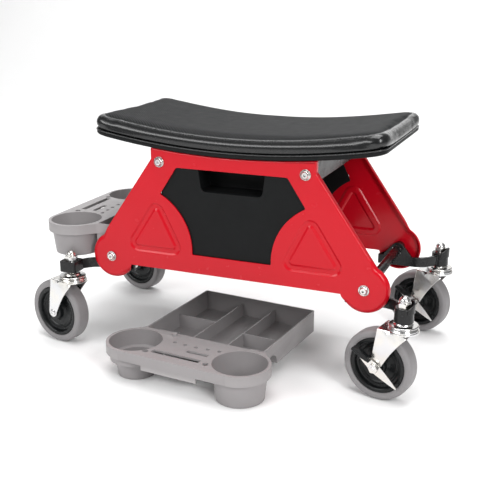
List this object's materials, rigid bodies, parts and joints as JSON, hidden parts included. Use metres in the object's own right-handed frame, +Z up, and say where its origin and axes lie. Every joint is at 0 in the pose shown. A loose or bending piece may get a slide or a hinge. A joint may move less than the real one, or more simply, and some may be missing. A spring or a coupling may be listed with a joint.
{
  "type": "mechanics creeper",
  "caption": "Rolling mechanic's seat: curved padded top on stamped side plates, swivel casters with brakes, and slide-in tool trays with cups and compartments.",
  "frame": {"origin": "middle of the whole part's box, on the floor under the seat, the loose tray included", "axes": "+X along the seat to its right end, +Y to its back, +Z up"},
  "size_m": [0.6136, 0.3994, 0.3623],
  "materials": {
    "red_enamel": "gloss",
    "black_enamel": "gloss",
    "black_panel": "matte",
    "black_plastic": "satin",
    "zinc": "bright",
    "grey_rubber": "matte",
    "grey_plastic": "satin",
    "seat_vinyl": "satin"
  },
  "bodies": {
    "seat_frame": {"side_plate_front": "red_enamel", "window_panel_front": "black_panel", "side_plate_rear": "red_enamel", "window_panel_rear": "black_panel", "seat_brace_left": "black_enamel", "cross_tube_left": "black_enamel", "seat_brace_right": "black_enamel", "cross_tube_right": "black_enamel", "tray_shelf": "black_enamel", "top_bolt_front_left": "zinc", "knuckle_bolt_front_left": "zinc", "knuckle_nut_front_left": "zinc", "top_bolt_front_right": "zinc", "knuckle_bolt_front_right": "zinc", "knuckle_nut_front_right": "zinc", "top_bolt_rear_left": "zinc", "knuckle_bolt_rear_left": "zinc", "knuckle_nut_rear_left": "zinc", "top_bolt_rear_right": "zinc", "knuckle_bolt_rear_right": "zinc", "knuckle_nut_rear_right": "zinc", "caster_arm_front_left": "black_enamel", "caster_arm_front_right": "black_enamel", "caster_arm_rear_left": "black_enamel", "caster_arm_rear_right": "black_enamel", "caster_stem_front_left": "zinc", "acorn_nut_front_left": "zinc", "caster_stem_front_right": "zinc", "acorn_nut_front_right": "zinc", "caster_stem_rear_left": "zinc", "acorn_nut_rear_left": "zinc", "caster_stem_rear_right": "zinc", "acorn_nut_rear_right": "zinc", "seat_board": "black_panel", "seat_cushion": "seat_vinyl", "seat_screw_front_left": "zinc", "seat_screw_front_right": "zinc", "seat_screw_rear_left": "zinc", "seat_screw_rear_right": "zinc"},
    "swivel_front_left": {"caster_fork_front_left": "zinc", "axle_bolt_front_left": "zinc"},
    "wheel_front_left": {"wheel_core_front_left": "black_plastic", "tyre_front_left": "grey_rubber"},
    "swivel_front_right": {"caster_fork_front_right": "zinc", "axle_bolt_front_right": "zinc"},
    "wheel_front_right": {"wheel_core_front_right": "black_plastic", "tyre_front_right": "grey_rubber"},
    "lever_front_right": {"brake_lever_front_right": "zinc"},
    "swivel_rear_left": {"caster_fork_rear_left": "zinc", "axle_bolt_rear_left": "zinc"},
    "wheel_rear_left": {"wheel_core_rear_left": "black_plastic", "tyre_rear_left": "grey_rubber"},
    "swivel_rear_right": {"caster_fork_rear_right": "zinc", "axle_bolt_rear_right": "zinc"},
    "wheel_rear_right": {"wheel_core_rear_right": "black_plastic", "tyre_rear_right": "grey_rubber"},
    "lever_rear_right": {"brake_lever_rear_right": "zinc"},
    "docked_tray": {"tray_docked": "grey_plastic"},
    "loose_tray": {"tray_loose": "grey_plastic"}
  },
  "joints": [
    {"name": "caster_swivel_front_left", "type": "hinge", "parent": "seat_frame", "child": "swivel_front_left", "pos_m": [-0.22668, -0.08739, 0.107], "axis": [0, 0, 1], "continuous": true},
    {"name": "wheel_spin_front_left", "type": "hinge", "parent": "swivel_front_left", "child": "wheel_front_left", "pos_m": [-0.25613, -0.08166, 0.05], "axis": [-0.1908, -0.9816, 0], "continuous": true},
    {"name": "caster_swivel_front_right", "type": "hinge", "parent": "seat_frame", "child": "swivel_front_right", "pos_m": [0.28532, -0.08739, 0.107], "axis": [0, 0, 1], "continuous": true},
    {"name": "wheel_spin_front_right", "type": "hinge", "parent": "swivel_front_right", "child": "wheel_front_right", "pos_m": [0.25587, -0.08166, 0.05], "axis": [-0.1908, -0.9816, 0], "continuous": true},
    {"name": "brake_press_front_right", "type": "hinge", "parent": "swivel_front_right", "child": "lever_front_right", "pos_m": [0.25587, -0.08166, 0.05], "axis": [-0.1908, -0.9816, 0], "range_deg": [0, 18]},
    {"name": "caster_swivel_rear_left", "type": "hinge", "parent": "seat_frame", "child": "swivel_rear_left", "pos_m": [-0.22668, 0.16761, 0.107], "axis": [0, 0, 1], "continuous": true},
    {"name": "wheel_spin_rear_left", "type": "hinge", "parent": "swivel_rear_left", "child": "wheel_rear_left", "pos_m": [-0.25603, 0.17385, 0.05], "axis": [-0.2079, -0.9781, 0], "continuous": true},
    {"name": "caster_swivel_rear_right", "type": "hinge", "parent": "seat_frame", "child": "swivel_rear_right", "pos_m": [0.28532, 0.16761, 0.107], "axis": [0, 0, 1], "continuous": true},
    {"name": "wheel_spin_rear_right", "type": "hinge", "parent": "swivel_rear_right", "child": "wheel_rear_right", "pos_m": [0.25634, 0.17538, 0.05], "axis": [-0.2588, -0.9659, 0], "continuous": true},
    {"name": "brake_press_rear_right", "type": "hinge", "parent": "swivel_rear_right", "child": "lever_rear_right", "pos_m": [0.25634, 0.17538, 0.05], "axis": [-0.2588, -0.9659, 0], "range_deg": [0, 18]},
    {"name": "docked_tray_slide", "type": "slide", "parent": "seat_frame", "child": "docked_tray", "axis": [-1, 0, 0], "range_m": [0, 0.15]},
    {"name": "loose_tray_slide", "type": "slide", "parent": "seat_frame", "child": "loose_tray", "axis": [-0.0924, -0.9957, 0], "range_m": [0, 0.2]}
  ]
}
